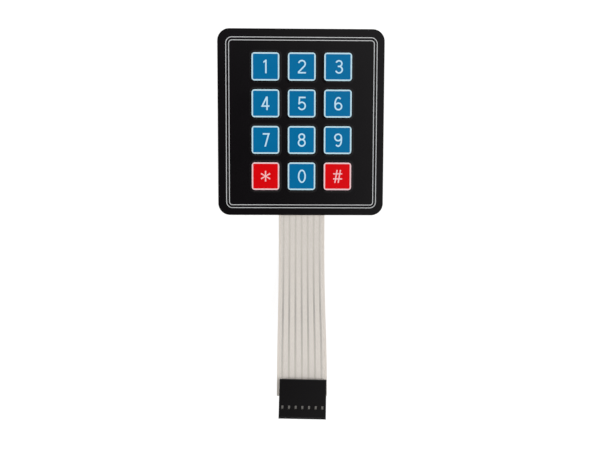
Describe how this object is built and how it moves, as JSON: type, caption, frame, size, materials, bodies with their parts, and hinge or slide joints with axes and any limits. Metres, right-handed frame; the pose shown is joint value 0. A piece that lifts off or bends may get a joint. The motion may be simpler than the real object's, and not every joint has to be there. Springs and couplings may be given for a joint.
{
  "type": "membrane keypad",
  "caption": "Flat membrane keypad: raised printed keys in a grid on a laminated pad, a printed film tail and a crimped socket connector.",
  "frame": {"origin": "middle of the pad's back, on the face of the release liner", "axes": "+Z out of the keys, +Y up the pad away from the tail, +X to the right as the keys are read"},
  "size_m": [0.0692, 0.1543, 0.0226],
  "materials": {
    "overlay_film": "satin second-surface printed polyester",
    "white_print": "screen print under film",
    "line_print": "screen print under film",
    "blue_print": "screen print under film",
    "red_print": "screen print under film",
    "clear_adhesive": "clear acrylic adhesive",
    "circuit_film": "milky polyester",
    "silver_ink": "matt printed silver ink",
    "spacer_film": "adhesive-coated polyester",
    "cover_film": "clear satin polyester",
    "liner_paper": "coated release paper",
    "housing_plastic": "moulded black nylon",
    "tinned_bronze": "stamped, tin-plated"
  },
  "bodies": {
    "root": {"graphic_overlay": "overlay_film", "border_lines": "line_print", "key_outlines": "white_print", "blue_key_fields": "blue_print", "red_key_fields": "red_print", "overlay_adhesive": "clear_adhesive", "upper_circuit_film": "circuit_film", "column_conductors": "silver_ink", "spacer": "spacer_film", "transfer_dots": "silver_ink", "lower_circuit_film": "circuit_film", "row_conductors": "silver_ink", "tail_cover_film": "cover_film", "rear_adhesive": "clear_adhesive", "release_liner": "liner_paper", "connector_housing": "housing_plastic", "contact_1": "tinned_bronze", "contact_2": "tinned_bronze", "contact_3": "tinned_bronze", "contact_4": "tinned_bronze", "contact_5": "tinned_bronze", "contact_6": "tinned_bronze", "contact_7": "tinned_bronze"}
  },
  "joints": []
}
